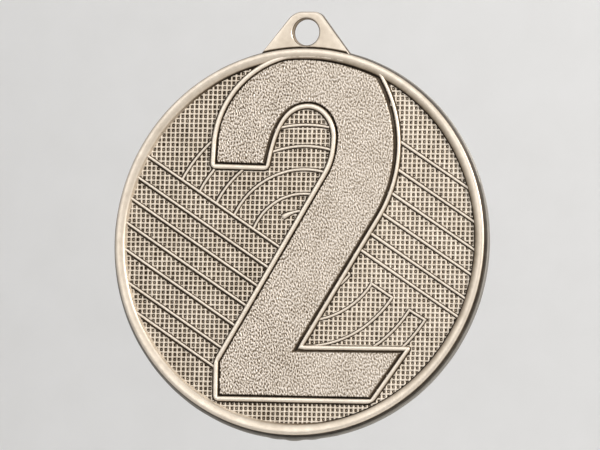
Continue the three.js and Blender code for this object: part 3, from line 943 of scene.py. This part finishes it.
def lug_rings(edge, directions):
    """The lug's rings in order, each as its radius, its level and its patina: half the drafted hole,
    the front face, the outer edge, the back face and the other half of the hole."""
    hole = [
        # radius, level, patina
        (HOLE_WAIST, 0.0, 0.95),
        (HOLE_WAIST + 0.03, -0.2, 0.55),
        (HOLE_RADIUS - 0.15, -0.42, 0.5),
        (HOLE_RADIUS - 0.08, -0.58, 0.8),
        (HOLE_RADIUS - 0.06, -0.61, 0.2),
        (HOLE_RADIUS - 0.03, -0.64, 0.0),
    ]
    bevel = [
        # inset from the outer edge, distance behind the face, patina
        (0.17, 0.015, 0),
        (0.05, 0.12, 0),
        (0.02, 0.17, 0.3),
        (-0.01, 0.3, 0.8),
        (-0.02, 0.7, 0.85),
    ]

    def face(level, shares):
        """Rings at shares of the way from the hole to the outer edge."""
        for share in shares:
            radius = (HOLE_RADIUS + 0.06) * (1 - share) + (edge - 0.2) * share
            spot = directions * radius[:, None] - (0, DISC_CENTRE_Z)
            beside_rim = 1 - smooth_step(np.linalg.norm(spot, axis=1) - DISC_RADIUS, 0.06, 0.3)
            yield radius, level, np.maximum(0.19 - 0.14 * share**4, beside_rim)

    yield from hole
    yield from face(LUG_FRONT, np.linspace(0, 1, FACE_RINGS))
    for inset, behind, dark in bevel:
        yield edge - inset, LUG_FRONT + behind, dark
    for inset, behind, dark in bevel[-2::-1]:
        yield edge - inset, LUG_BACK - behind, dark
    yield from face(LUG_BACK, np.linspace(1, 0, FACE_RINGS))
    for radius, level, dark in hole[:0:-1]:
        yield radius, -level, dark


def make_lug(material):
    """The lug, as a closed surface of rings round its hole."""
    angle = np.linspace(0, 2 * math.pi, RING_STEPS, endpoint=False)
    directions = np.stack([np.cos(angle), np.sin(angle)], 1)
    edge = np.minimum(reach_to(lug_outline(), directions), reach_to_root(directions))
    rings = [np.broadcast_arrays(*ring, angle)[:3] for ring in lug_rings(edge, directions)]
    radius, level, patina = np.stack(rings, 1)
    points = np.stack([radius * directions[:, 0], level, radius * directions[:, 1]], -1).reshape(-1, 3)
    points[:, 2] -= DISC_CENTRE_Z
    build("hanging_eye", points, grid_faces(len(rings), RING_STEPS), patina, material, ["hanging_lug"])


# ---- studio ----
def pale_paper():
    material = bpy.data.materials.new("pale_paper")
    material.use_nodes = True
    tree = material.node_tree
    shader = tree.nodes["Principled BSDF"]
    place = tree.nodes.new("ShaderNodeTexCoord").outputs["Object"]
    tone = tree.nodes.new("ShaderNodeValToRGB")
    tone.color_ramp.elements[0].color = (0.74, 0.73, 0.71, 1)
    tone.color_ramp.elements[1].color = (0.80, 0.79, 0.775, 1)
    tree.links.new(noise(tree, place, 25.0), tone.inputs["Fac"])
    tree.links.new(tone.outputs["Color"], shader.inputs["Base Color"])
    shader.inputs["Roughness"].default_value = 0.9
    return material


def make_studio():
    """A pale floor that sweeps up into a wall behind the medal, in metres."""
    floor_z, front, back, top, bend, half_width = -0.7, -3.4, 2.4, 2.0, 0.8, 3.4
    bend_steps = 24
    curve = [(front, floor_z)]
    for k in range(bend_steps + 1):
        turn = math.radians(90 * k / bend_steps)
        curve.append((back - bend + bend * math.sin(turn), floor_z + bend - bend * math.cos(turn)))
    curve.append((back, top))
    points = [(side * half_width, y, z) for y, z in curve for side in (-1, 1)]
    faces = [(2 * k, 2 * k + 1, 2 * k + 3, 2 * k + 2) for k in range(len(curve) - 1)]
    mesh = bpy.data.meshes.new("studio_floor")
    mesh.from_pydata(points, [], faces)
    mesh.polygons.foreach_set("use_smooth", np.ones(len(faces), bool))
    mesh.materials.append(pale_paper())
    floor = bpy.data.objects.new("studio_floor", mesh)
    bpy.context.scene.collection.objects.link(floor)


def add_light(name, direction, distance, size, power, colour=(1, 1, 1), target=None):
    """A square soft light that faces the medal, or another target, from a direction. Its distance and
    size are in metres, and its power is in watts."""
    data = bpy.data.lights.new(name, "AREA")
    data.shape = "SQUARE"
    data.size = size
    data.energy = power
    data.color = colour
    light = bpy.data.objects.new(name, data)
    bpy.context.scene.collection.objects.link(light)
    target = Vector((0, 0, DISC_CENTRE_Z * MM)) if target is None else Vector(target)
    away = Vector(direction).normalized()
    light.location = target + away * distance
    light.rotation_mode = "QUATERNION"
    light.rotation_quaternion = away.to_track_quat("Z", "Y")


def make_lights():
    add_light("key", (0.80, -0.5, 0.34), distance=0.9, size=0.16, power=7.8, colour=(1, 0.97, 0.93))
    add_light("front_box", (-0.28, -1, 0.38), distance=1.1, size=0.75, power=3.3, colour=(1, 0.98, 0.95))
    add_light("reverse_box", (0.5, 1, 0.6), distance=1.2, size=0.6, power=4.5, colour=(1, 0.98, 0.96))
    add_light("wall_wash", (0, -0.7, 1), distance=1.3, size=1.0, power=26, target=(0, 2.2, 0.3))
    world = bpy.data.worlds.new("studio")
    world.use_nodes = True
    background = world.node_tree.nodes["Background"]
    background.inputs["Color"].default_value = (0.93, 0.95, 1, 1)
    background.inputs["Strength"].default_value = 0.34
    bpy.context.scene.world = world


def make_camera():
    """The camera stands a metre away, a little to the right of the medal and below it."""
    azimuth, elevation, roll = math.radians(17.9), math.radians(-4), math.radians(1.9)
    distance, view_width = 1.0, 77.05 * MM
    aim = Vector((0.24, RIM_FRONT, 2.1 + DISC_CENTRE_Z)) * MM
    sideways, forwards = math.sin(azimuth) * math.cos(elevation), math.cos(azimuth) * math.cos(elevation)
    away = Vector((sideways, -forwards, math.sin(elevation)))
    data = bpy.data.cameras.new("camera")
    data.sensor_width = 36
    data.lens = data.sensor_width * distance / view_width
    data.clip_start, data.clip_end = 0.05, 20
    camera = bpy.data.objects.new("camera", data)
    bpy.context.scene.collection.objects.link(camera)
    camera.location = aim + away * distance
    camera.rotation_mode = "QUATERNION"
    camera.rotation_quaternion = away.to_track_quat("Z", "Y") @ Quaternion((0, 0, 1), roll)
    bpy.context.scene.camera = camera


def main():
    metal = antiqued_metal("cast_metal_finish", METAL_TONES, shine=(0.36, 0.75), mottle=0.25,
                           grain_size=0.16, grain_depth=0.02)
    grained = antiqued_metal("pebbled_metal_finish", GRAIN_TONES, shine=(0.46, 0.72), mottle=0.25,
                             grain_size=0.12, grain_depth=0.015)
    net_metal = antiqued_metal("patinated_metal_finish", METAL_TONES, shine=(0.36, 0.8), mottle=0.3,
                               grain_size=0.12, grain_depth=0.015)
    edge_metal = antiqued_metal("edge_metal_finish", EDGE_TONES, shine=(0.45, 0.75), mottle=0.3,
                                grain_size=0.2, grain_depth=0.02)
    make_rim(metal)
    make_wall(edge_metal)
    make_reverse_rim(metal)
    make_reverse(metal)
    make_net(net_metal)
    make_panel(grained)
    make_bead(metal)
    make_ridges(metal)
    make_sliver(metal)
    make_lug(metal)
    make_studio()
    make_lights()
    make_camera()
    bpy.context.scene.view_settings.view_transform = "Standard"


main()
